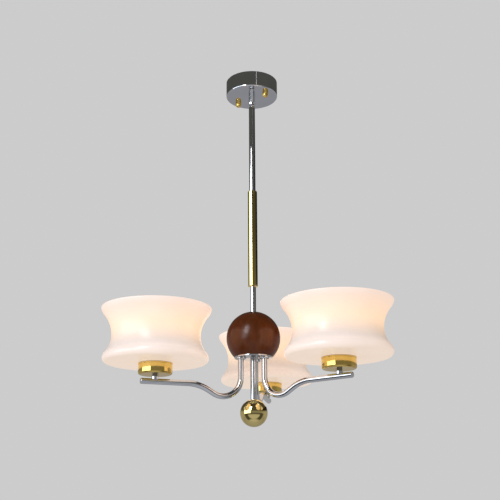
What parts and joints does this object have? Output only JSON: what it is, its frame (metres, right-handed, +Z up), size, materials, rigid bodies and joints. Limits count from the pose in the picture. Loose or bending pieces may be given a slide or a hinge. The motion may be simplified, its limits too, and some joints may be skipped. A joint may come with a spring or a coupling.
{
  "type": "multi arm chandelier",
  "caption": "Ceiling chandelier with a chrome stem and brass sleeve on a ball swivel, a dark wood ball, bent arms carrying waisted opal glass shades in brass cups, and a brass ball finial.",
  "frame": {"origin": "centre of the crossbar's top face, where it lies on the ceiling", "axes": "+Z up, into the ceiling; +X out along arm 1, with arm 2 at 120 degrees and arm 3 at 240 degrees counted from +X towards +Y; everything hangs below the origin"},
  "size_m": [0.477, 0.5202, 0.692],
  "materials": {
    "chrome": "mirror polished chrome plate",
    "polished_brass": "polished, lacquered",
    "zinc_steel": "zinc plated",
    "dark_wood": "satin lacquered dark wood",
    "opal_glass": "glossy opal glass, lit from inside",
    "lamp_glass": "frosted lamp glass, lit",
    "lamp_cap": "nickel plated",
    "ivory_plastic": "satin",
    "white_plastic": "glossy",
    "nylon": "natural nylon",
    "gasket_rubber": "matte silicone",
    "lead_insulation": "matte"
  },
  "bodies": {
    "ceiling_mount": {"crossbar": "zinc_steel", "bracket_screws": "zinc_steel", "terminal_block": "ivory_plastic", "canopy": "chrome", "canopy_nipple": "zinc_steel", "canopy_lock_nut": "zinc_steel", "cap_nuts": "polished_brass", "swivel_body": "chrome", "swivel_skirt": "chrome", "supply_lead": "lead_insulation"},
    "tilt_ring": {"swivel_liner": "nylon"},
    "tilt_ball": {"swivel_ball": "chrome"},
    "stem": {"upper_rod": "chrome", "sleeve_bushes": "polished_brass", "brass_sleeve": "polished_brass", "rod_coupler": "zinc_steel", "lower_rod": "chrome", "wood_ball": "dark_wood", "hub_plate": "chrome", "hub_nipple": "zinc_steel", "hub_hickey": "zinc_steel", "finial_stem": "chrome", "finial_ball": "polished_brass", "main_lead": "lead_insulation"},
    "arm_1": {"arm_tube_1": "chrome", "arm_collar_1": "chrome", "arm_lock_nut_1": "zinc_steel", "arm_lead_1": "lead_insulation", "cup_neck_1": "chrome", "cup_1": "polished_brass", "lampholder_1": "ivory_plastic", "shade_gaskets_1": "gasket_rubber", "shade_1": "opal_glass", "shade_ring_1": "white_plastic"},
    "arm_2": {"arm_tube_2": "chrome", "arm_collar_2": "chrome", "arm_lock_nut_2": "zinc_steel", "arm_lead_2": "lead_insulation", "cup_neck_2": "chrome", "cup_2": "polished_brass", "lampholder_2": "ivory_plastic", "shade_gaskets_2": "gasket_rubber", "shade_2": "opal_glass", "shade_ring_2": "white_plastic"},
    "arm_3": {"arm_tube_3": "chrome", "arm_collar_3": "chrome", "arm_lock_nut_3": "zinc_steel", "arm_lead_3": "lead_insulation", "cup_neck_3": "chrome", "cup_3": "polished_brass", "lampholder_3": "ivory_plastic", "shade_gaskets_3": "gasket_rubber", "shade_3": "opal_glass", "shade_ring_3": "white_plastic"},
    "lamp_1": {"bulb_cap_1": "lamp_cap", "bulb_globe_1": "lamp_glass"},
    "lamp_2": {"bulb_cap_2": "lamp_cap", "bulb_globe_2": "lamp_glass"},
    "lamp_3": {"bulb_cap_3": "lamp_cap", "bulb_globe_3": "lamp_glass"}
  },
  "joints": [
    {"name": "swivel_tilt_x", "type": "hinge", "parent": "ceiling_mount", "child": "tilt_ring", "pos_m": [0, 0, -0.0437], "axis": [1, 0, 0], "range_deg": [-10, 10]},
    {"name": "swivel_tilt_y", "type": "hinge", "parent": "tilt_ring", "child": "tilt_ball", "pos_m": [0, 0, -0.0437], "axis": [0, 1, 0], "range_deg": [-10, 10]},
    {"name": "stem_turn", "type": "hinge", "parent": "tilt_ball", "child": "stem", "pos_m": [0, 0, -0.0437], "axis": [0, 0, 1], "range_deg": [-160, 160]},
    {"name": "arm_1_turn", "type": "hinge", "parent": "stem", "child": "arm_1", "pos_m": [0.025, 0, -0.5675], "axis": [0, 0, 1], "range_deg": [-20, 20]},
    {"name": "arm_2_turn", "type": "hinge", "parent": "stem", "child": "arm_2", "pos_m": [-0.0125, 0.02165, -0.5675], "axis": [0, 0, 1], "range_deg": [-20, 20]},
    {"name": "arm_3_turn", "type": "hinge", "parent": "stem", "child": "arm_3", "pos_m": [-0.0125, -0.02165, -0.5675], "axis": [0, 0, 1], "range_deg": [-20, 20]},
    {"name": "lamp_1_lift", "type": "slide", "parent": "arm_1", "child": "lamp_1", "axis": [0, 0, 1], "range_m": [0, 0.12]},
    {"name": "lamp_2_lift", "type": "slide", "parent": "arm_2", "child": "lamp_2", "axis": [0, 0, 1], "range_m": [0, 0.12]},
    {"name": "lamp_3_lift", "type": "slide", "parent": "arm_3", "child": "lamp_3", "axis": [0, 0, 1], "range_m": [0, 0.12]}
  ]
}
